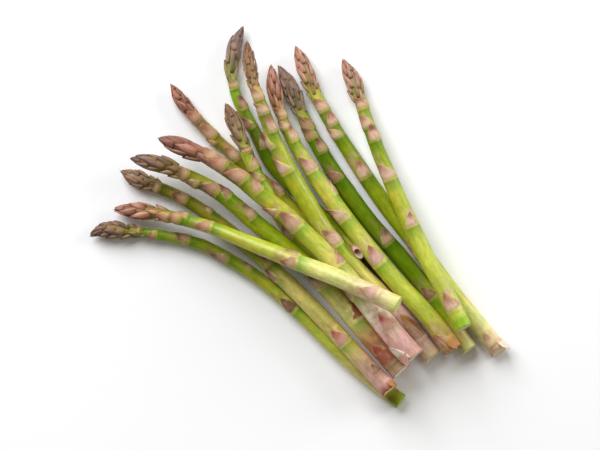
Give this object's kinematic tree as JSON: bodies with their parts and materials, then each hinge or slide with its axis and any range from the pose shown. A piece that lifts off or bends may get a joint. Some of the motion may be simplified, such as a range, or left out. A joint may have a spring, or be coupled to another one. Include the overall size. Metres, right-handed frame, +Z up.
{
  "type": "bundle of asparagus",
  "caption": "Loose fan of cut green asparagus spears lying in a heap, tips spread at one end and cut ends gathered at the other, with pointed scale leaves on the stems.",
  "frame": {"origin": "centre of the bundle's bounding box, on the surface it lies on", "axes": "+Z up from the surface, +Y the way the tips point, +X across the fan"},
  "size_m": [0.1862, 0.2519, 0.0495],
  "materials": {
    "stem_deep_green": "smooth fresh skin, satin",
    "stem_olive": "smooth fresh skin, satin",
    "stem_yellow_green": "smooth fresh skin, satin",
    "stem_pale": "smooth fresh skin, satin",
    "scale_leaf": "dull, thin and papery"
  },
  "bodies": {
    "root": {"spear_01": "stem_deep_green", "spear_01_scale_1": "scale_leaf", "spear_01_scale_2": "scale_leaf", "spear_01_scale_3": "scale_leaf", "spear_11": "stem_deep_green", "spear_11_scale_1": "scale_leaf", "spear_11_scale_2": "scale_leaf", "spear_11_scale_3": "scale_leaf", "spear_11_scale_4": "scale_leaf", "spear_12": "stem_yellow_green", "spear_12_scale_1": "scale_leaf", "spear_12_scale_2": "scale_leaf", "spear_12_scale_3": "scale_leaf", "spear_06": "stem_olive", "spear_06_scale_1": "scale_leaf", "spear_06_scale_2": "scale_leaf", "spear_08": "stem_deep_green", "spear_08_scale_1": "scale_leaf", "spear_08_scale_2": "scale_leaf", "spear_07": "stem_yellow_green", "spear_07_scale_1": "scale_leaf", "spear_03": "stem_olive", "spear_03_scale_1": "scale_leaf", "spear_03_scale_2": "scale_leaf", "spear_03_scale_3": "scale_leaf", "spear_04": "stem_olive", "spear_04_scale_1": "scale_leaf", "spear_04_scale_2": "scale_leaf", "spear_04_scale_3": "scale_leaf", "spear_09": "stem_yellow_green", "spear_09_scale_1": "scale_leaf", "spear_09_scale_2": "scale_leaf", "spear_09_scale_3": "scale_leaf", "spear_10": "stem_yellow_green", "spear_10_scale_1": "scale_leaf", "spear_10_scale_2": "scale_leaf", "spear_10_scale_3": "scale_leaf", "spear_13": "stem_yellow_green", "spear_13_scale_1": "scale_leaf", "spear_13_scale_2": "scale_leaf", "spear_13_scale_3": "scale_leaf", "spear_13_scale_4": "scale_leaf", "spear_05": "stem_yellow_green", "spear_05_scale_1": "scale_leaf", "spear_05_scale_2": "scale_leaf", "spear_05_scale_3": "scale_leaf", "spear_05_scale_4": "scale_leaf", "spear_02": "stem_pale", "spear_02_scale_1": "scale_leaf", "spear_02_scale_2": "scale_leaf", "spear_02_scale_3": "scale_leaf"}
  },
  "joints": []
}
